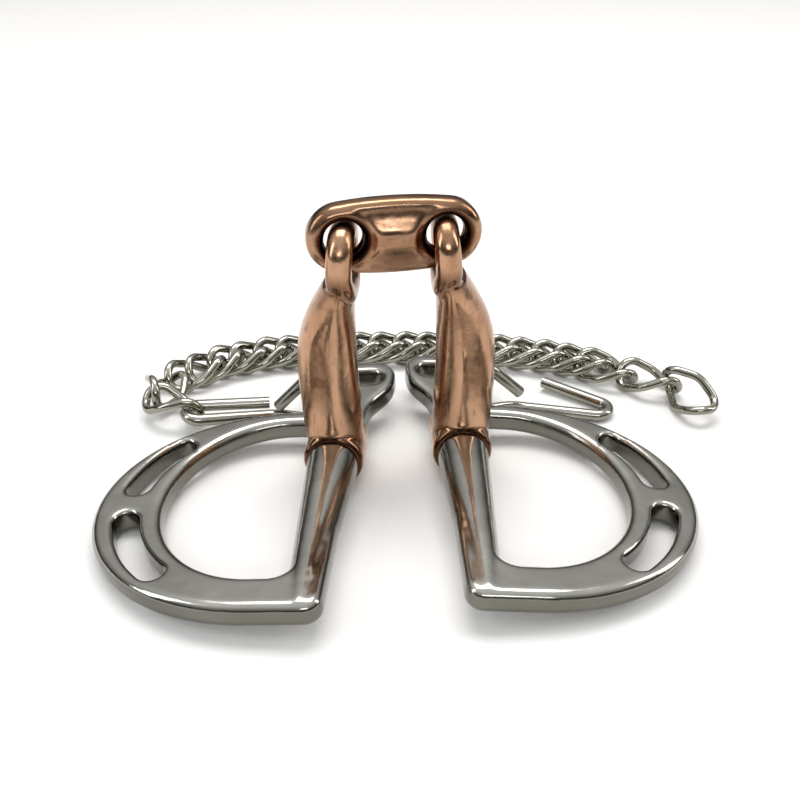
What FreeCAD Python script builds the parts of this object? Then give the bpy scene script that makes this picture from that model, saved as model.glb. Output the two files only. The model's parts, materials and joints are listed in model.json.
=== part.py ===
import FreeCAD, Part
import math
import os

# Curb bit with slotted D cheeks, a double-jointed copper mouthpiece, curb hooks and a curb chain.
# Millimetres. It lies as on a table: cheeks down, mouth arms standing, chain behind.
# Working frame: +X to the right, +Y away along the cheek bars, +Z up, table at Z = 0,
# X = 0 between the cheeks and Y = 0 at the middle of the two cheek rings.
# The finished pieces are moved together so that the origin is under the centre of the whole.

Vector = FreeCAD.Vector
X_AXIS = Vector(1, 0, 0)
Y_AXIS = Vector(0, 1, 0)
Z_AXIS = Vector(0, 0, 1)

# ---- cheek, in its own flat frame: u outward, v along the bar towards the eye, w across the plate
PLATE = 6.0
PLATE_EDGE = 2.1
EYE_EDGE = 1.5
RING_CENTRE_U = 12.0
RING_OUT_V, RING_OUT_A, RING_OUT_B = -3.0, 41.2, 37.0
RING_IN_V, RING_IN_A, RING_IN_B = -0.7, 25.3, 29.2
CORNER_U = -4.6
CORNER_R = 4.0
OPENING_U = 3.2
OPENING_R = 5.0
BAR_FOOT_V, BAR_FOOT_R = -38.0, 3.3
BAR_TOP_R = 6.3
BARREL_FROM, BARREL_TO = 13.5, 28.5
BARREL_MIDDLE = (BARREL_FROM + BARREL_TO) / 2
NECK_R, NECK_END_V, NECK_END_R = 6.2, 38.0, 3.1
SLOT_CENTRE_V, SLOT_A, SLOT_B = -2.2, 33.2, 33.4
UPPER_SLOT = (7.5, 38.5, 2.95)       # start angle, end angle, half width
LOWER_SLOT = (-14.0, -50.0, 2.9)
SLOT_EDGE = 1.1
EYE_HALF_W, EYE_NECK_HALF_W = 12.3, 6.2
EYE_TOP_V, EYE_CORNER_R = 58.5, 6.0
EYE_SLOT_HALF_W, EYE_SLOT_FROM, EYE_SLOT_TO = 9.2, 46.5, 53.7
HOOK_HOLE_V, HOOK_HOLE_R = 40.4, 2.75
PIN_R, PIN_FROM, PIN_TO = 3.9, 6.0, 33.0

# ---- mouth arm, in its own frame: the bar along Y through the origin, the arm up along Z
ARM_LENGTH = 56.0
BARREL_R = 7.4
BARREL_PLAY = 0.06                  # running clearance on the hinge pin
BARREL_END_GAP = 0.15
BARREL_EDGE = 1.5
# height above the bar, half width across, half width along the bar, outward bow
ARM_SECTIONS = ((3.0, 7.2, 6.9, 0.2), (11.0, 7.3, 6.9, 1.3), (21.0, 6.8, 6.6, 2.9),
                (30.0, 5.6, 6.8, 4.1), (38.0, 4.4, 8.0, 3.2), (45.5, 3.2, 8.9, 1.0))
EYE_WIRE_R = 3.0
EYE_HALF_GAP = 6.2                  # eye wire's centre line either side of the arm's middle
EYE_BOTTOM, EYE_TOP = 44.0, 57.0
EYE_BEND_R = 4.6

# ---- centre link
LINK_LENGTH, LINK_HEIGHT, LINK_THICK = 39.6, 17.4, 5.2
LINK_SWELL = 0.8                    # how much higher the middle is than the round ends
LINK_HOLES, LINK_HOLE_R = 23.0, 4.4
LINK_RIM = 1.7

# ---- curb hooks, bent from round wire: corners as (outward, along Y, height) from the hook hole
HOOK_WIRE_R = 1.6
HOOK_EYE_TOP = 14.2
HOOK_BENDS = (0, 3.2, 3.2, 12.0, 2.6, 2.8, 3.0, 0)
LEFT_HOOK = (((21.2, 6.2, 4.4), (42.9, 3.0, 5.2), (42.3, -4.4, 5.2), (18.7, 3.4, 2.2)),
             ((10.0, 1.0, 15.0), (18.3, 3.4, 5.0)))
RIGHT_HOOK = (((26.6, 16.4, 2.4), (43.6, 4.6, 1.65), (41.4, -0.6, 1.65), (16.0, 4.6, 1.65)),
              ((10.0, 1.0, 15.6), (18.3, 4.0, 6.6)))

# ---- curb chain
CHAIN_WIRE_R = 1.15
CHAIN_HALF_LENGTH = 8.5             # centre line, along the link
CHAIN_HALF_WIDTH = 4.95             # centre line, at the ends
CHAIN_WAIST = 5.45                  # centre line, at mid length
CHAIN_TWIST = math.radians(64.0)    # each end is turned this much out of the flat, either way
CHAIN_PITCH = 13.7
PAIR_SHIFT = 6.4                    # the second link of a pair lies this far along the chain
CHAIN_HEIGHT = 3.93                 # centre line above the table

# ---- how the pieces lie
BAR_HEIGHT = BARREL_R
CHEEK_TILT = math.radians(4.9)      # the ring's curved side rests lower than its bar
LEFT_BAR = (-17.3, -4.0, -4.2)      # x, y of the bar at v = 0, and its heading in degrees
RIGHT_BAR = (16.1, 0.0, 2.7)
# heading of each pair of links in degrees, left to right, and the place of the sixth pair
PAIR_HEADINGS = (37, 20, 8, 4, 1, -2, -7, -14, -20)
FIXED_PAIR, FIXED_PAIR_X, FIXED_PAIR_Y = 4, -3.6, 74.0
# single links at the ends: name, place of the middle, heading, pitch and roll in degrees
SINGLE_LINKS = (("hook_link", (-61.0, 40.3, 5.3), -25.0, 3.8, -18.4),
                ("lead_link", (-65.2, 49.6, 5.0), 85.3, 11.7, 28.0),
                ("tail_link_1", (59.2, 61.2, 4.0), -27.4, 2.4, 6.8),
                ("tail_link_2", (70.5, 55.8, 4.0), -28.0, 0.3, 0.4),
                ("tail_link_3", (78.8, 45.9, 5.4), -59.0, 6.3, 53.0))


def rounded_segments(corners, radii, closed):
    """Straight runs and tangent arcs along a polygon, as ("line", a, b) or ("arc", a, b, c, centre)."""
    count = len(corners)
    trims = []
    for i in range(count):
        if not closed and i in (0, count - 1):
            trims.append(None)
            continue
        here = corners[i]
        back = (corners[i - 1] - here).normalize()
        ahead = (corners[(i + 1) % count] - here).normalize()
        half = back.getAngle(ahead) / 2
        reach = radii[i] / math.tan(half)
        centre = here + (back + ahead).normalize() * (radii[i] / math.sin(half))
        middle = centre + (here - centre).normalize() * radii[i]
        trims.append((here + back * reach, middle, here + ahead * reach, centre))
    segments = []
    for i in range(count):
        if trims[i]:
            segments.append(("arc",) + trims[i])
        if closed or i < count - 1:
            j = (i + 1) % count
            start = trims[i][2] if trims[i] else corners[i]
            end = trims[j][0] if trims[j] else corners[j]
            if (end - start).Length > 1e-4:
                segments.append(("line", start, end))
    return segments


def rod(corners, radii, wire_r, closed=False):
    """Round wire along a rounded polygon: a cylinder per run and a torus slice per bend."""
    pieces = []
    for segment in rounded_segments(corners, radii, closed):
        if segment[0] == "line":
            start, end = segment[1], segment[2]
            pieces.append(Part.makeCylinder(wire_r, (end - start).Length, start, end - start))
        else:
            start, middle, end, centre = segment[1:]
            spin_axis = (start - centre).cross(end - centre)
            turn = math.degrees((start - centre).getAngle(end - centre))
            tangent = spin_axis.cross(start - centre)
            disc = Part.Face(Part.Wire(Part.makeCircle(wire_r, start, tangent)))
            pieces.append(disc.revolve(centre, spin_axis, turn))
    return pieces[0].multiFuse(pieces[1:])


def ellipse_arc(centre_u, centre_v, half_u, half_v, from_deg, to_deg):
    """Arc of an ellipse in the plate's plane, angles from +u towards +v."""
    if half_u >= half_v:
        ellipse = Part.Ellipse(Vector(centre_u, centre_v, 0), half_u, half_v)
        offset = 0.0
    else:
        ellipse = Part.Ellipse(Vector(centre_u, centre_v + half_v, 0), Vector(centre_u - half_u, centre_v, 0),
                               Vector(centre_u, centre_v, 0))
        offset = -90.0
    low, high = sorted((from_deg + offset, to_deg + offset))
    return Part.Edge(Part.ArcOfEllipse(ellipse, math.radians(low), math.radians(high)))


def line(u1, v1, u2, v2):
    return Part.makeLine(Vector(u1, v1, 0), Vector(u2, v2, 0))


def arc(start, middle, end):
    points = [Vector(u, v, 0) for u, v in (start, middle, end)]
    return Part.Edge(Part.Arc(*points))


def plate(edges, thickness, height=0.0):
    """Closed outline extruded evenly to both sides of the plate's middle plane."""
    face = Part.Face(Part.Wire(Part.__sortEdges__(edges)))
    solid = face.extrude(Vector(0, 0, thickness))
    solid.translate(Vector(0, 0, height - thickness / 2))
    return solid


def curved_slot(from_deg, to_deg, half_width, depth):
    """Slot with round ends along the arc that best follows an ellipse concentric with the ring."""
    line_points = []
    for angle in (from_deg, (from_deg + to_deg) / 2, to_deg):
        a = math.radians(angle)
        line_points.append(Vector(RING_CENTRE_U + SLOT_A * math.cos(a), SLOT_CENTRE_V + SLOT_B * math.sin(a), 0))
    first, middle, last = line_points
    centre = Part.Arc(first, middle, last).toShape().Curve.Center
    radius = (first - centre).Length

    def beside(point, offset):
        return centre + (point - centre) * ((radius + offset) / radius)

    def end_cap(point, beyond):
        forward = Z_AXIS.cross(point - centre).normalize() * beyond
        return Part.Arc(beside(point, -half_width), point + forward, beside(point, half_width)).toShape()

    turn = math.copysign(half_width, (first - centre).cross(last - centre).z)
    edges = [end_cap(first, -turn), end_cap(last, turn)]
    for offset in (-half_width, half_width):
        edges.append(Part.Arc(*[beside(point, offset) for point in line_points]).toShape())
    return plate(edges, depth)


def ring_blank():
    """Solid D of the cheek, without its openings."""
    top_v = RING_OUT_V + RING_OUT_B
    foot_v = RING_OUT_V - RING_OUT_B
    bend = CORNER_R * (1 - math.sqrt(0.5))
    edges = [
        ellipse_arc(RING_CENTRE_U, RING_OUT_V, RING_OUT_A, RING_OUT_B, -90, 90),
        line(RING_CENTRE_U, top_v, CORNER_U, top_v),
        line(CORNER_U, top_v, CORNER_U, foot_v + CORNER_R),
        arc((CORNER_U, foot_v + CORNER_R), (CORNER_U + bend, foot_v + bend), (CORNER_U + CORNER_R, foot_v)),
        line(CORNER_U + CORNER_R, foot_v, RING_CENTRE_U, foot_v),
    ]
    return plate(edges, PLATE)


def ring_opening():
    """The D opening, with the square gap that the arm's barrel turns in."""
    top_v = RING_IN_V + RING_IN_B
    foot_v = RING_IN_V - RING_IN_B
    bend = OPENING_R * (1 - math.sqrt(0.5))
    clear_u = CORNER_U - 5.0
    edges = [
        ellipse_arc(RING_CENTRE_U, RING_IN_V, RING_IN_A, RING_IN_B, -90, 90),
        line(RING_CENTRE_U, top_v, clear_u, top_v),
        line(clear_u, top_v, clear_u, BARREL_FROM),
        line(clear_u, BARREL_FROM, OPENING_U, BARREL_FROM),
        line(OPENING_U, BARREL_FROM, OPENING_U, foot_v + OPENING_R),
        arc((OPENING_U, foot_v + OPENING_R), (OPENING_U + bend, foot_v + bend), (OPENING_U + OPENING_R, foot_v)),
        line(OPENING_U + OPENING_R, foot_v, RING_CENTRE_U, foot_v),
    ]
    return plate(edges, 3 * PLATE)


def eye_blank():
    """Flat loop beyond the ring that carries the headstall strap, on a flared neck."""
    neck_v = BARREL_TO
    flare_v = EYE_TOP_V - 2 * EYE_CORNER_R
    corner = EYE_CORNER_R
    bend = corner * (1 - math.sqrt(0.5))
    edges = [line(-EYE_NECK_HALF_W, neck_v, EYE_NECK_HALF_W, neck_v)]
    for side in (1, -1):
        neck = [Vector(side * EYE_NECK_HALF_W, neck_v, 0), Vector(side * EYE_NECK_HALF_W, 35.5, 0),
                Vector(side * 8.4, 40.0, 0), Vector(side * 11.4, 44.0, 0),
                Vector(side * EYE_HALF_W, flare_v + 2.0, 0), Vector(side * EYE_HALF_W, EYE_TOP_V - corner, 0)]
        curve = Part.BSplineCurve()
        curve.buildFromPoles(neck, False, 3)
        edges.append(curve.toShape())
        edges.append(arc((side * EYE_HALF_W, EYE_TOP_V - corner),
                         (side * (EYE_HALF_W - bend), EYE_TOP_V - bend),
                         (side * (EYE_HALF_W - corner), EYE_TOP_V)))
    edges.append(line(-(EYE_HALF_W - corner), EYE_TOP_V, EYE_HALF_W - corner, EYE_TOP_V))
    return plate(edges, PLATE)


def eye_slot():
    radius = (EYE_SLOT_TO - EYE_SLOT_FROM) / 2
    reach = EYE_SLOT_HALF_W - radius
    middle = (EYE_SLOT_TO + EYE_SLOT_FROM) / 2
    edges = [
        line(-reach, EYE_SLOT_FROM, reach, EYE_SLOT_FROM),
        line(-reach, EYE_SLOT_TO, reach, EYE_SLOT_TO),
        arc((reach, EYE_SLOT_FROM), (reach + radius, middle), (reach, EYE_SLOT_TO)),
        arc((-reach, EYE_SLOT_FROM), (-reach - radius, middle), (-reach, EYE_SLOT_TO)),
    ]
    return plate(edges, 3 * PLATE)


def soften(solid, radius, zone):
    """Round the edges inside a zone that run along the two faces of the plate."""
    half = PLATE / 2
    rims = []
    for edge in solid.Edges:
        box = edge.BoundBox
        on_face = box.ZLength < 1e-6 and abs(abs(box.ZMin) - half) < 1e-6
        if on_face and zone.isInside(box):
            rims.append(edge)
    return solid.makeFillet(radius, rims)


def make_cheek():
    """Cheek in its flat frame: plate, tapered bar below the barrel, neck and bores for the hinge pin."""
    blank = ring_blank()
    zone = blank.BoundBox
    zone.enlarge(1.0)
    body = soften(blank.cut(ring_opening()), PLATE_EDGE, zone)
    for from_deg, to_deg, half_width in (UPPER_SLOT, LOWER_SLOT):
        slot = curved_slot(from_deg, to_deg, half_width, 3 * PLATE)
        zone = slot.BoundBox
        zone.enlarge(0.1)
        body = soften(body.cut(slot), SLOT_EDGE, zone)
    eye = eye_blank().cut(eye_slot())
    eye = eye.cut(Part.makeCylinder(HOOK_HOLE_R, 3 * PLATE, Vector(0, HOOK_HOLE_V, -1.5 * PLATE)))
    zone = eye.BoundBox
    zone.enlarge(1.0)
    eye = soften(eye, EYE_EDGE, zone)
    bar = Part.makeCone(BAR_FOOT_R, BAR_TOP_R, BARREL_FROM - BAR_FOOT_V, Vector(0, BAR_FOOT_V, 0), Y_AXIS)
    neck = Part.makeCone(NECK_R, NECK_END_R, NECK_END_V - BARREL_TO, Vector(0, BARREL_TO, 0), Y_AXIS)
    body = body.multiFuse([eye, bar, neck])
    return body.cut(Part.makeCylinder(PIN_R, PIN_TO - PIN_FROM, Vector(0, PIN_FROM, 0), Y_AXIS))


def make_pin():
    return Part.makeCylinder(PIN_R, PIN_TO - PIN_FROM, Vector(0, PIN_FROM, 0), Y_AXIS)


def make_arm():
    """Mouth arm: hollow barrel on the bar, bowed tapering body, closed wire eye at the top."""
    half = (BARREL_TO - BARREL_FROM) / 2 - BARREL_END_GAP
    barrel = Part.makeCylinder(BARREL_R, 2 * half, Vector(0, -half, 0), Y_AXIS)
    rims = [edge for edge in barrel.Edges if edge.BoundBox.YLength < 1e-6]
    barrel = barrel.makeFillet(BARREL_EDGE, rims)
    sections = []
    for height, across, along, bow in ARM_SECTIONS:
        centre = Vector(bow, 0, height)
        ring = Part.makeCircle(1.0)
        stretch = FreeCAD.Matrix()
        stretch.scale(across, along, 1.0)
        ring = ring.transformGeometry(stretch)
        ring.translate(centre)
        sections.append(Part.Wire(ring))
    body = Part.makeLoft(sections, True)
    corners = [Vector(0, side * EYE_HALF_GAP, z) for side, z in
               ((-1, EYE_BOTTOM), (-1, EYE_TOP), (1, EYE_TOP), (1, EYE_BOTTOM))]
    eye = rod(corners, [EYE_BEND_R] * 4, EYE_WIRE_R, closed=True)
    arm = barrel.multiFuse([body, eye])
    return arm.cut(Part.makeCylinder(PIN_R + BARREL_PLAY, 4 * half, Vector(0, -2 * half, 0), Y_AXIS))


def make_centre_link():
    """Oval link, upright in the XZ plane, with a rounded hole for each arm's eye."""
    half_l, half_h = LINK_LENGTH / 2, LINK_HEIGHT / 2
    end_r = half_h - LINK_SWELL
    reach = half_l - end_r
    drop = (reach ** 2 - LINK_SWELL ** 2) / (2 * LINK_SWELL)
    side_r = half_h + drop
    join = Vector(reach, drop, 0).normalize() * side_r - Vector(0, drop, 0)
    edges = [
        arc((-join.x, join.y), (0, half_h), (join.x, join.y)),
        arc((-join.x, -join.y), (0, -half_h), (join.x, -join.y)),
        arc((join.x, join.y), (half_l, 0), (join.x, -join.y)),
        arc((-join.x, join.y), (-half_l, 0), (-join.x, -join.y)),
    ]
    body = plate(edges, LINK_THICK)
    for side in (-1, 1):
        hole = Part.makeCylinder(LINK_HOLE_R, 2 * LINK_THICK, Vector(side * LINK_HOLES / 2, 0, -LINK_THICK))
        body = body.cut(hole)
    rims = []
    for edge in body.Edges:
        if edge.BoundBox.ZLength < 1e-6:
            rims.append(edge)
    body = body.makeFillet(LINK_RIM, rims)
    body.rotate(Vector(0, 0, 0), X_AXIS, 90)
    return body


def make_chain_link():
    """One curb link: a long oval of wire, twisted so that its two ends cross at an angle."""
    out = CHAIN_HALF_WIDTH * math.cos(CHAIN_TWIST)
    lift = CHAIN_HALF_WIDTH * math.sin(CHAIN_TWIST)
    far = CHAIN_HALF_LENGTH
    corners = [Vector(far, out, -lift), Vector(0, CHAIN_WAIST, 0), Vector(-far, out, lift),
               Vector(-far, -out, -lift), Vector(0, -CHAIN_WAIST, 0), Vector(far, -out, lift)]
    side_angle = (corners[1] - corners[0]).getAngle(corners[5] - corners[0])
    end_r = 0.97 * CHAIN_HALF_WIDTH * math.tan(side_angle / 2)
    waist_r = 7.0
    return rod(corners, [end_r, waist_r, end_r, end_r, waist_r, end_r], CHAIN_WIRE_R, closed=True)


def make_hook(hole, outward, shape):
    """Curb hook lying flat on the table, its open eye reaching up through the cheek's hook hole.

    hole is the hook hole's place; shape gives the corners of the shank and tail, and of the eye's end,
    as distances outward and along Y from the hole, with heights above the table.
    """
    tail, eye_end = shape
    low = HOOK_WIRE_R + 0.05
    corners = [hole + Vector(outward * u, v, z) for u, v, z in tail]
    corners += [hole + Vector(0, 0, low), hole + Vector(0, 0, HOOK_EYE_TOP)]
    corners += [hole + Vector(outward * u, v, z) for u, v, z in eye_end]
    return rod(corners, HOOK_BENDS, HOOK_WIRE_R)


def bar_point(bar, u, v, height):
    """Point beside a bar, by the bar's place and heading; u is to the right of it."""
    x, y, heading = bar
    angle = math.radians(heading)
    return Vector(x + u * math.cos(angle) - v * math.sin(angle),
                  y + u * math.sin(angle) + v * math.cos(angle), height)


def lay_cheek(shape, bar, side):
    """Put a piece of a cheek's flat frame in place: mirrored for the left, tilted on its bar."""
    placed = shape.copy()
    if side < 0:
        placed = placed.mirror(Vector(0, 0, 0), X_AXIS)
    placed.rotate(Vector(0, 0, 0), Y_AXIS, side * math.degrees(CHEEK_TILT))
    placed.rotate(Vector(0, 0, 0), Z_AXIS, bar[2])
    placed.translate(bar_point(bar, 0, 0, BAR_HEIGHT))
    return placed


def arm_foot(bar):
    """Where the arm's axis meets the bar's axis."""
    return bar_point(bar, 0, BARREL_MIDDLE, BAR_HEIGHT)


def arm_leans():
    """Inward lean of the left and right arms that brings their eyes one hole spacing apart."""
    left, right = arm_foot(LEFT_BAR), arm_foot(RIGHT_BAR)
    gap = right - left
    spare = math.hypot(gap.x, gap.y) - LINK_HOLES
    left_share = 0.38
    left_lean = math.asin(spare * left_share / ARM_LENGTH)
    right_lean = math.asin(spare * (1 - left_share) / ARM_LENGTH)
    return left_lean, right_lean


def arm_top(bar, side, lean):
    """Centre of the link hole that the arm's eye passes through."""
    inward = -side * ARM_LENGTH * math.sin(lean)
    return bar_point(bar, inward, BARREL_MIDDLE, BAR_HEIGHT + ARM_LENGTH * math.cos(lean))


def lay_arm(shape, bar, side, lean):
    placed = shape.copy()
    if side < 0:
        placed = placed.mirror(Vector(0, 0, 0), X_AXIS)
    placed.rotate(Vector(0, 0, 0), Y_AXIS, -side * math.degrees(lean))
    placed.rotate(Vector(0, 0, 0), Z_AXIS, bar[2])
    placed.translate(arm_foot(bar))
    return placed


def pair_places():
    """Centre and heading of each pair of links; neighbours meet half a pitch from each centre."""
    half = CHAIN_PITCH / 2
    steps = []
    for heading in PAIR_HEADINGS:
        angle = math.radians(heading)
        steps.append(Vector(math.cos(angle), math.sin(angle), 0) * half)
    centres = [Vector(0, 0, 0)]
    for i in range(1, len(steps)):
        centres.append(centres[-1] + steps[i - 1] + steps[i])
    shift = Vector(FIXED_PAIR_X, FIXED_PAIR_Y, CHAIN_HEIGHT) - centres[FIXED_PAIR]
    return [(centre + shift, heading) for centre, heading in zip(centres, PAIR_HEADINGS)]


def lay_link(shape, centre, heading, pitch=0.0, roll=0.0):
    placed = shape.copy()
    placed.rotate(Vector(0, 0, 0), X_AXIS, roll)
    placed.rotate(Vector(0, 0, 0), Y_AXIS, pitch)
    placed.rotate(Vector(0, 0, 0), Z_AXIS, heading)
    placed.translate(centre)
    return placed


def build():
    """All pieces by node name, in the working frame."""
    pieces = {}
    cheek, pin, arm = make_cheek(), make_pin(), make_arm()
    left_lean, right_lean = arm_leans()
    for name, bar, side, lean in (("left", LEFT_BAR, -1, left_lean), ("right", RIGHT_BAR, 1, right_lean)):
        pieces[name + "_cheek"] = lay_cheek(cheek, bar, side)
        pieces[name + "_hinge_pin"] = lay_cheek(pin, bar, side)
        pieces[name + "_mouth_arm"] = lay_arm(arm, bar, side, lean)
    left_top, right_top = arm_top(LEFT_BAR, -1, left_lean), arm_top(RIGHT_BAR, 1, right_lean)
    span = right_top - left_top
    link = make_centre_link()
    link.rotate(Vector(0, 0, 0), Y_AXIS, -math.degrees(math.asin(span.z / span.Length)))
    link.rotate(Vector(0, 0, 0), Z_AXIS, math.degrees(math.atan2(span.y, span.x)))
    link.translate((left_top + right_top) * 0.5)
    pieces["centre_link"] = link
    for name, bar, outward, shape in (("left", LEFT_BAR, -1, LEFT_HOOK), ("right", RIGHT_BAR, 1, RIGHT_HOOK)):
        pieces[name + "_curb_hook"] = make_hook(bar_point(bar, 0, HOOK_HOLE_V, 0), outward, shape)
    curb_link = make_chain_link()
    for i, (centre, heading) in enumerate(pair_places()):
        angle = math.radians(heading)
        along = Vector(math.cos(angle), math.sin(angle), 0) * (PAIR_SHIFT / 2)
        pieces["chain_%02d_a" % (i + 1)] = lay_link(curb_link, centre - along, heading)
        pieces["chain_%02d_b" % (i + 1)] = lay_link(curb_link, centre + along, heading)
    for name, place, heading, pitch, roll in SINGLE_LINKS:
        pieces[name] = lay_link(curb_link, Vector(*place), heading, pitch, roll)
    return pieces


def under_centre(pieces):
    """Point on the table under the centre of the whole."""
    box = FreeCAD.BoundBox()
    for shape in pieces.values():
        box.add(shape.optimalBoundingBox(False))
    return Vector(box.Center.x, box.Center.y, box.ZMin)


def main():
    os.makedirs("parts", exist_ok=True)
    pieces = build()
    origin = under_centre(pieces)
    for name, shape in pieces.items():
        shape.translate(-origin)
        shape.exportStep("parts/%s.step" % name)


main()
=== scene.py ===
import json
import math

import bmesh
import bpy
from mathutils import Matrix, Vector


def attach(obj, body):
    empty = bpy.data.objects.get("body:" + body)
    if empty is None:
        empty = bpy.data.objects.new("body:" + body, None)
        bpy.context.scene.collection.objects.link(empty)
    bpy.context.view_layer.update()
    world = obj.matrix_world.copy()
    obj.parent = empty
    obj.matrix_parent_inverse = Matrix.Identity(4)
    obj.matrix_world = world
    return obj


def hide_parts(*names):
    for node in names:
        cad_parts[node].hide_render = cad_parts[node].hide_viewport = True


# A curb bit lies on a pale table: two polished steel cheeks, a copper mouthpiece standing
# between them, and the curb chain behind. All lengths are metres, in the frame of the model.

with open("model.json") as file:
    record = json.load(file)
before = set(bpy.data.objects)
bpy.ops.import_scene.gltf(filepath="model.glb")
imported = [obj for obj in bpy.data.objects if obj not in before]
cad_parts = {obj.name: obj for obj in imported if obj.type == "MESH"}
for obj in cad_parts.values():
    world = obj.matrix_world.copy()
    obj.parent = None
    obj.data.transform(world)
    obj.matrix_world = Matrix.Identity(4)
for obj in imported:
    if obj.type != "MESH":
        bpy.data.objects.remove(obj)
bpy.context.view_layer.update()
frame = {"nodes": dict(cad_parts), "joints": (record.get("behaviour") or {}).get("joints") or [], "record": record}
RECORD = frame["record"]
JOINTS = {joint["name"]: joint for joint in frame["joints"]}
MOUNTS = {mount["name"]: mount for mount in RECORD["mounts"]}

# ---- where the camera and the lights are
CAMERA_AT = Vector((-0.00783, -0.21165, 0.15078))
CAMERA_PITCH = math.radians(31.674)         # below the horizontal
CAMERA_LENS = 45.9                          # mm, on a 36 mm wide sensor
FLOOR_SIZE = 6.0

# ---- finish of the rebuilt pieces
RECESS = "recess"                           # mask on the vertices: 1 where the copper is darkened, partly tarnish and partly painted shade
CHEEK_VOXEL, ARM_VOXEL, LINK_VOXEL = 0.00042, 0.00036, 0.0003
CHEEK_PASSES, ARM_PASSES, LINK_PASSES = 14, 12, 6
BARREL_HALF = 0.0073                        # half the length of the arms' barrels


# ------------------------------------------------------------------ materials
def new_material(name, base, roughness):
    material = bpy.data.materials.new(name)
    material.use_nodes = True
    shader = material.node_tree.nodes["Principled BSDF"]
    shader.inputs["Metallic"].default_value = 1.0
    shader.inputs["Base Color"].default_value = (*base, 1.0)
    shader.inputs["Roughness"].default_value = roughness
    return material, material.node_tree, shader


def coordinates(tree, scale, turn=(0.0, 0.0, 0.0)):
    """Object coordinates turned and stretched: the grain of a texture follows the piece."""
    source = tree.nodes.new("ShaderNodeTexCoord")
    mapping = tree.nodes.new("ShaderNodeMapping")
    mapping.inputs["Scale"].default_value = scale
    mapping.inputs["Rotation"].default_value = turn
    tree.links.new(source.outputs["Object"], mapping.inputs["Vector"])
    return mapping.outputs["Vector"]


def noise(tree, vector, scale, detail=4.0, roughness=0.55):
    node = tree.nodes.new("ShaderNodeTexNoise")
    node.inputs["Scale"].default_value = scale
    node.inputs["Detail"].default_value = detail
    node.inputs["Roughness"].default_value = roughness
    tree.links.new(vector, node.inputs["Vector"])
    return node.outputs["Fac"]


def ramp(tree, value, stops):
    """Colour ramp with (position, colour) stops."""
    node = tree.nodes.new("ShaderNodeValToRGB")
    elements = node.color_ramp.elements
    while len(elements) < len(stops):
        elements.new(0.5)
    for element, (position, colour) in zip(elements, stops):
        element.position = position
        element.color = (*colour, 1.0)
    tree.links.new(value, node.inputs["Fac"])
    return node.outputs["Color"]


def grey(level):
    return (level, level, level)


def remap(tree, value, low, high, to_low, to_high):
    node = tree.nodes.new("ShaderNodeMapRange")
    node.inputs["From Min"].default_value = low
    node.inputs["From Max"].default_value = high
    node.inputs["To Min"].default_value = to_low
    node.inputs["To Max"].default_value = to_high
    tree.links.new(value, node.inputs["Value"])
    return node.outputs["Result"]


def mix_colour(tree, factor, first, second, blend="MIX"):
    node = tree.nodes.new("ShaderNodeMix")
    node.data_type = "RGBA"
    node.blend_type = blend
    if isinstance(factor, float):
        node.inputs["Factor"].default_value = factor
    else:
        tree.links.new(factor, node.inputs["Factor"])
    tree.links.new(first, node.inputs["A"])
    tree.links.new(second, node.inputs["B"])
    return node.outputs["Result"]


def add_bump(tree, shader, heights):
    """Stack (height, strength, distance) bumps onto a shader's normal."""
    last = None
    for height, strength, distance in heights:
        bump = tree.nodes.new("ShaderNodeBump")
        bump.inputs["Strength"].default_value = strength
        bump.inputs["Distance"].default_value = distance
        tree.links.new(height, bump.inputs["Height"])
        if last:
            tree.links.new(last, bump.inputs["Normal"])
        last = bump.outputs["Normal"]
    tree.links.new(last, shader.inputs["Normal"])


def facing_up(tree):
    """How squarely the surface faces up or down in the piece's own frame, 0 to 1."""
    source = tree.nodes.new("ShaderNodeTexCoord")
    split = tree.nodes.new("ShaderNodeSeparateXYZ")
    tree.links.new(source.outputs["Normal"], split.inputs["Vector"])
    size = tree.nodes.new("ShaderNodeMath")
    size.operation = "ABSOLUTE"
    tree.links.new(split.outputs["Z"], size.inputs[0])
    return size.outputs["Value"]


def steel_material(name, tint, roughness, wave, side_shade_tone):
    """Polished steel: cloudy tone, hairline buffing marks, a wavy surface, and darker sides, which is painted
    shade standing in for darker reflections on the walls.
    """
    material, tree, shader = new_material(name, tint, roughness)
    even = coordinates(tree, (1, 1, 1))
    hairs = coordinates(tree, (1, 0.06, 1), (0, 0, 0.5))
    cross = coordinates(tree, (0.08, 1, 1), (0, 0, 0.2))
    cloud = noise(tree, even, 60.0, 3.0)
    dark = tuple(channel * 0.80 for channel in tint)
    colour = ramp(tree, cloud, ((0.3, dark), (0.65, tint)))
    pits = noise(tree, even, 2600.0, 2.0)
    pit_mask = ramp(tree, pits, ((0.24, grey(0.45)), (0.30, grey(1.0))))
    colour = mix_colour(tree, 0.35, colour, pit_mask, "MULTIPLY")
    # painted shade: surfaces facing sideways in the piece's own frame get a darker base colour
    painted_side_shade = ramp(tree, facing_up(tree), ((0.25, side_shade_tone), (0.85, grey(1.0))))
    colour = mix_colour(tree, 1.0, colour, painted_side_shade, "MULTIPLY")
    tree.links.new(colour, shader.inputs["Base Color"])
    scratch = noise(tree, hairs, 5200.0, 2.0)
    scratch_cross = noise(tree, cross, 4300.0, 2.0)
    rough = remap(tree, cloud, 0.3, 0.7, roughness * 0.7, roughness * 1.5)
    tree.links.new(rough, shader.inputs["Roughness"])
    waves = noise(tree, even, 95.0, 2.0)
    add_bump(tree, shader, ((waves, 0.35, wave), (scratch, 0.10, 0.00002), (scratch_cross, 0.07, 0.00002)))
    return material


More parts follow.
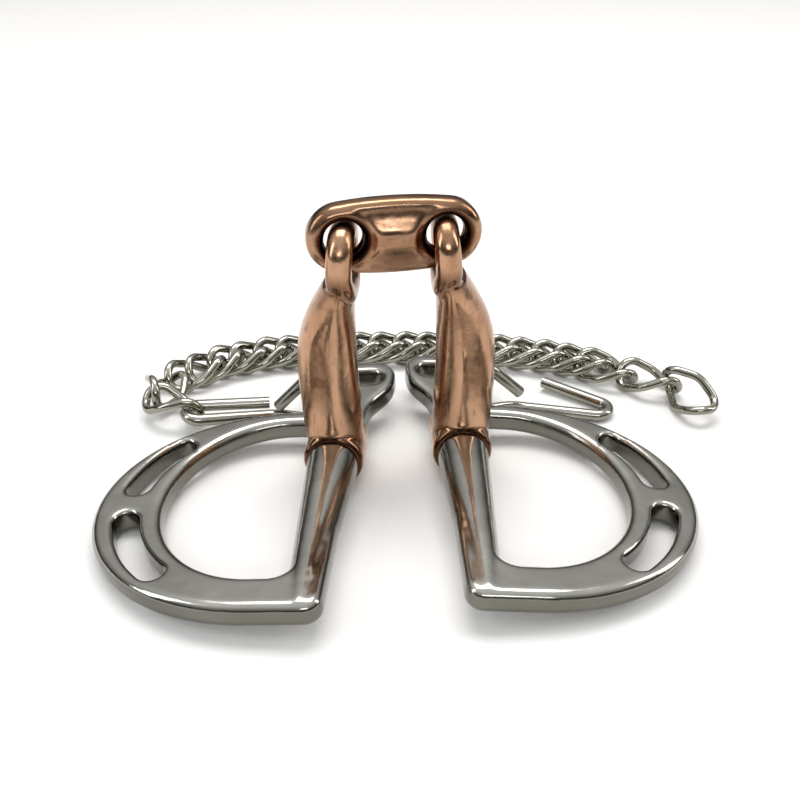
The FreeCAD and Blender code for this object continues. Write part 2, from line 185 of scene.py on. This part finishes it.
def copper_material(name, along, edge_dark, brightness):
    """Polished copper, brown tarnish in streaks along the piece, and dark where the mask marks a recess: partly
    tarnish, partly painted shade.
    """
    bright, warm, brown = (0.66, 0.390, 0.240), (0.46, 0.250, 0.145), (0.11, 0.056, 0.034)
    bright, warm = [tuple(channel * brightness for channel in tone) for tone in (bright, warm)]
    material, tree, shader = new_material(name, bright, 0.16)
    even = coordinates(tree, (1, 1, 1))
    stretch = (1, 1, 0.14) if along == "z" else (0.2, 1, 1)
    grain = coordinates(tree, stretch)
    broad = noise(tree, grain, 210.0, 4.0, 0.6)
    fine = noise(tree, grain, 900.0, 3.0, 0.6)
    blotch = noise(tree, even, 130.0, 5.0, 0.62)
    colour = ramp(tree, broad, ((0.34, warm), (0.56, bright)))
    streaks = ramp(tree, fine, ((0.60, grey(0.0)), (0.72, grey(1.0))))
    patches = ramp(tree, blotch, ((0.585, grey(0.0)), (0.66, grey(1.0))))
    tarnish = mix_colour(tree, 0.6, streaks, patches, "SCREEN")
    tarnish_amount = remap(tree, tarnish, 0.0, 1.0, 0.0, edge_dark)
    tint = ramp(tree, blotch, ((0.4, brown), (0.8, warm)))
    colour = mix_colour(tree, tarnish_amount, colour, tint)
    pits = noise(tree, even, 1500.0, 2.0)
    pit_mask = ramp(tree, pits, ((0.25, grey(0.25)), (0.31, grey(1.0))))
    colour = mix_colour(tree, 0.7, colour, pit_mask, "MULTIPLY")
    mask = tree.nodes.new("ShaderNodeAttribute")
    mask.attribute_name = RECESS
    ragged = remap(tree, broad, 0.3, 0.7, -0.25, 0.25)
    depth = tree.nodes.new("ShaderNodeMath")
    depth.operation = "ADD"
    tree.links.new(mask.outputs["Fac"], depth.inputs[0])
    tree.links.new(ragged, depth.inputs[1])
    # the recess mask darkens the base colour: partly tarnish, partly painted shade
    recess = ramp(tree, depth.outputs["Value"], ((0.25, grey(1.0)), (0.9, (0.17, 0.13, 0.11))))
    colour = mix_colour(tree, 1.0, colour, recess, "MULTIPLY")
    tree.links.new(colour, shader.inputs["Base Color"])
    rough = remap(tree, blotch, 0.35, 0.7, 0.12, 0.34)
    tree.links.new(rough, shader.inputs["Roughness"])
    waves = noise(tree, even, 150.0, 2.0)
    scratch = noise(tree, coordinates(tree, (1, 1, 0.05) if along == "z" else (0.05, 1, 1)), 5200.0, 2.0)
    add_bump(tree, shader, ((waves, 0.35, 0.0004), (pits, 0.12, 0.00006), (scratch, 0.16, 0.00002)))
    return material


# the last value of each steel is the tone of the painted shade on its sides
STEEL = steel_material("polished_steel", (0.55, 0.545, 0.505), 0.14, 0.0006, (0.34, 0.33, 0.31))
HOOK_STEEL = steel_material("wire_steel", (0.50, 0.495, 0.45), 0.18, 0.0002, (0.66, 0.65, 0.61))
CHAIN_STEEL = steel_material("chain_steel", (0.53, 0.525, 0.465), 0.13, 0.00015, (0.60, 0.59, 0.55))
ARM_COPPER = copper_material("arm_copper", "z", 0.8, 0.80)
LINK_COPPER = copper_material("link_copper", "x", 0.7, 0.64)


# ------------------------------------------------------------------ rebuilt pieces
def basis(origin, x_axis, z_hint):
    """Matrix from a piece's own frame to the model's, by its origin, X axis and rough Z axis."""
    x = x_axis.normalized()
    y = z_hint.cross(x).normalized()
    z = x.cross(y)
    matrix = Matrix((x, y, z)).transposed().to_4x4()
    matrix.translation = origin
    return matrix


def rebuild(node, to_model, voxel, passes, material, body, shape=None, recess=None):
    """Fine, softened copy of a CAD node, made in the piece's own frame so that flats stay flat.

    shape moves a point, and recess gives the darkening mask at a point (partly tarnish, partly painted shade),
    both in that frame.
    """
    work = bmesh.new()
    work.from_mesh(frame["nodes"][node].data)
    bmesh.ops.remove_doubles(work, verts=work.verts, dist=1e-6)
    bmesh.ops.transform(work, matrix=to_model.inverted(), verts=work.verts)
    mesh = bpy.data.meshes.new(node + "_fine")
    work.to_mesh(mesh)
    work.free()
    draft = bpy.data.objects.new(node + "_draft", mesh)
    bpy.context.scene.collection.objects.link(draft)
    remesh = draft.modifiers.new("remesh", "REMESH")
    remesh.mode = "VOXEL"
    remesh.voxel_size = voxel
    smooth = draft.modifiers.new("smooth", "SMOOTH")
    smooth.factor = 0.5
    smooth.iterations = passes
    graph = bpy.context.evaluated_depsgraph_get()
    fine = bpy.data.meshes.new_from_object(draft.evaluated_get(graph))
    bpy.data.objects.remove(draft)
    if recess:
        mask = fine.attributes.new(RECESS, "FLOAT", "POINT")
        mask.data.foreach_set("value", [recess(vertex.co) for vertex in fine.vertices])
    if shape:
        for vertex in fine.vertices:
            vertex.co = shape(vertex.co)
    fine.transform(to_model)
    fine.name = node + "_visual"
    for polygon in fine.polygons:
        polygon.use_smooth = True
    fine.materials.clear()
    fine.materials.append(material)
    piece = bpy.data.objects.new(node + "_visual", fine)
    bpy.context.scene.collection.objects.link(piece)
    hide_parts(node)
    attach(piece, body)
    return piece


def bump_curve(distance, width):
    return math.exp(-(distance / width) ** 2)


def soft_step(distance, width):
    """1 well below zero and 0 well above it."""
    return 1.0 / (1.0 + math.exp(distance / width))


def soft_ramp(distance, bend):
    """Zero well below zero, and distance itself well above it."""
    return bend * math.log(1.0 + math.exp(distance / bend))


def centre_link_shape(half_span):
    """Thick middle with a narrow flat crest and sloping sides, and raised rims round the two holes."""
    rim_radius, rim_width, rim_height = 0.0058, 0.0013, 0.0005
    crest_lift, crest_half_height, slope = 0.0021, 0.0019, 0.56
    clear_of_hole, clear_of_eye, blend, bend = 0.0067, 0.0080, 0.00046, 0.0005
    full_face = 0.0008

    def shape(point):
        side = max(-1.0, min(1.0, point.y / full_face))
        radius = math.hypot(abs(point.x) - half_span, point.z)
        rim = rim_height * bump_curve(radius - rim_radius, rim_width)
        middle = soft_step(clear_of_hole - radius, blend) * soft_step(abs(point.x) - clear_of_eye, blend)
        fall = slope * soft_ramp(abs(point.z) - crest_half_height, bend)
        lift = middle * soft_ramp(crest_lift - fall, bend) + (1.0 - middle) * rim
        return Vector((point.x, point.y + side * lift, point.z))
    return shape


def centre_link_recess(half_span):
    """Darkening round the two holes, partly tarnish and partly painted shade, and painted shade along the foot of
    the lower slope.
    """
    hole_edge, fade = 0.0055, 0.0010
    foot_painted_shade, foot_depth, foot_height, foot_reach = 0.7, 0.0030, 0.0012, 0.0045

    def recess(point):
        radius = math.hypot(abs(point.x) - half_span, point.z)
        # round the holes: partly tarnish, partly painted shade
        near = bump_curve(max(0.0, radius - hole_edge), fade)
        # painted shade: a dark band along the foot of the lower slope
        across, along = bump_curve(point.z + foot_depth, foot_height), bump_curve(point.x, foot_reach)
        low_edge = foot_painted_shade * across * along
        return max(near, low_edge)
    return recess


def arm_shape(inward):
    """Fuller inner side, so that it runs straight from the eye down to the barrel.

    inward is the sign of the piece's own Y that faces the other arm.
    """
    fullness, height, reach = 0.0026, 0.033, 0.0115
    middle, blend = -0.0035, 0.0010
    eye_root, root_blend = 0.0475, 0.0006

    def shape(point):
        inner = 1.0 - soft_step(inward * point.y - middle, blend)
        below_eye = soft_step(point.z - eye_root, root_blend)
        swell = fullness * bump_curve(point.z - height, reach) * inner * below_eye
        return Vector((point.x, point.y + inward * swell, point.z))
    return shape


def arm_recess(length, bar_half_length):
    """Darker at the roots of the eye and along the barrel's open ends."""
    root_height, root_reach, root_darkening = 0.84 * length, 0.0035, 0.75
    barrel_top, lip_reach = 0.13 * length, 0.0009

    def recess(point):
        root = root_darkening * bump_curve(point.z - root_height, root_reach)
        lip = 0.0
        if point.z < barrel_top:
            lip = bump_curve(abs(point.x) - bar_half_length, lip_reach)
        return max(root, lip)
    return recess


def joint_place(name):
    return Vector(JOINTS[name]["pos_m"]), Vector(JOINTS[name]["axis"])


def build_cheeks():
    for side in ("left", "right"):
        at, bar_axis = joint_place(side + "_cheek_hinge")
        if bar_axis.y < 0:
            bar_axis = -bar_axis
        normal = Vector(MOUNTS[side + "_eye"]["axis"])
        rebuild(side + "_cheek", basis(at, bar_axis, normal), CHEEK_VOXEL, CHEEK_PASSES,
                STEEL, side + "_cheek")


def build_mouthpiece():
    left, _ = joint_place("left_link_joint")
    right, _ = joint_place("right_link_joint")
    span = right - left
    for side, top, other in (("left", left, span), ("right", right, -span)):
        foot, bar_axis = joint_place(side + "_cheek_hinge")
        to_model = basis(foot, bar_axis, top - foot)
        inward = math.copysign(1.0, other.dot(to_model.col[1].to_3d()))
        rebuild(side + "_mouth_arm", to_model, ARM_VOXEL, ARM_PASSES, ARM_COPPER, side + "_arm",
                arm_shape(inward), arm_recess((top - foot).length, BARREL_HALF))
    to_model = basis((left + right) / 2, span, Vector((0, 0, 1)))
    rebuild("centre_link", to_model, LINK_VOXEL, LINK_PASSES, LINK_COPPER, "centre_link",
            centre_link_shape(span.length / 2), centre_link_recess(span.length / 2))


def finish_cad_nodes():
    """Every CAD node takes its metal; the wire pieces and the pins also keep their CAD shape."""
    for name, node in frame["nodes"].items():
        if name.endswith("_hook") or name.endswith("_pin"):
            material = HOOK_STEEL
        elif name == "centre_link" or "arm" in name:
            material = ARM_COPPER
        elif "cheek" in name:
            material = STEEL
        else:
            material = CHAIN_STEEL
        node.data.materials.clear()
        node.data.materials.append(material)


# ------------------------------------------------------------------ stage
def build_floor():
    mesh = bpy.data.meshes.new("floor")
    half = FLOOR_SIZE / 2
    corners = [(-half, -half, 0), (half, -half, 0), (half, half, 0), (-half, half, 0)]
    mesh.from_pydata(corners, [], [(0, 1, 2, 3)])
    floor = bpy.data.objects.new("floor", mesh)
    bpy.context.scene.collection.objects.link(floor)
    material = bpy.data.materials.new("pale_floor")
    material.use_nodes = True
    shader = material.node_tree.nodes["Principled BSDF"]
    shader.inputs["Base Color"].default_value = (0.93, 0.93, 0.93, 1.0)
    shader.inputs["Roughness"].default_value = 0.9
    shader.inputs["Specular IOR Level"].default_value = 0.1
    mesh.materials.append(material)


def area_light(name, place, aim, width, height, power, colour):
    data = bpy.data.lights.new(name, "AREA")
    data.shape = "RECTANGLE"
    data.size, data.size_y = width, height
    data.energy = power
    data.color = colour
    light = bpy.data.objects.new(name, data)
    light.location = place
    light.rotation_euler = (Vector(aim) - Vector(place)).to_track_quat("-Z", "Y").to_euler()
    bpy.context.scene.collection.objects.link(light)


def build_lights():
    warm, cool = (1.0, 0.97, 0.93), (0.95, 0.97, 1.0)
    area_light("overhead", (0.0, 0.25, 0.95), (0, 0, 0), 0.8, 0.42, 5.6, warm)
    area_light("left_box", (-0.95, -0.25, 0.55), (0, 0, 0.03), 0.30, 0.8, 2.6, cool)
    area_light("right_box", (0.95, 0.1, 0.5), (0, 0, 0.03), 0.26, 0.7, 2.2, warm)
    area_light("front_box", (0.1, -1.1, 0.62), (0, 0, 0.05), 0.7, 0.16, 2.2, cool)
    world = bpy.data.worlds.new("room")
    world.use_nodes = True
    tree = world.node_tree
    background = tree.nodes["Background"]
    source = tree.nodes.new("ShaderNodeTexCoord")
    split = tree.nodes.new("ShaderNodeSeparateXYZ")
    tree.links.new(source.outputs["Generated"], split.inputs["Vector"])
    level = ramp(tree, split.outputs["Z"], ((0.0, grey(0.10)), (0.18, (0.045, 0.042, 0.040)),
                                            (0.48, (0.40, 0.39, 0.375)), (0.85, grey(0.75))))
    tree.links.new(level, background.inputs["Color"])
    background.inputs["Strength"].default_value = 1.0
    bpy.context.scene.world = world


def build_camera():
    data = bpy.data.cameras.new("camera")
    data.lens = CAMERA_LENS
    data.sensor_width = 36.0
    data.clip_start = 0.01
    camera = bpy.data.objects.new("camera", data)
    camera.location = CAMERA_AT
    camera.rotation_euler = (math.pi / 2 - CAMERA_PITCH, 0.0, 0.0)
    bpy.context.scene.collection.objects.link(camera)
    bpy.context.scene.camera = camera


build_floor()
build_lights()
build_camera()
finish_cad_nodes()
build_cheeks()
build_mouthpiece()

bpy.context.scene.view_settings.view_transform = "Standard"
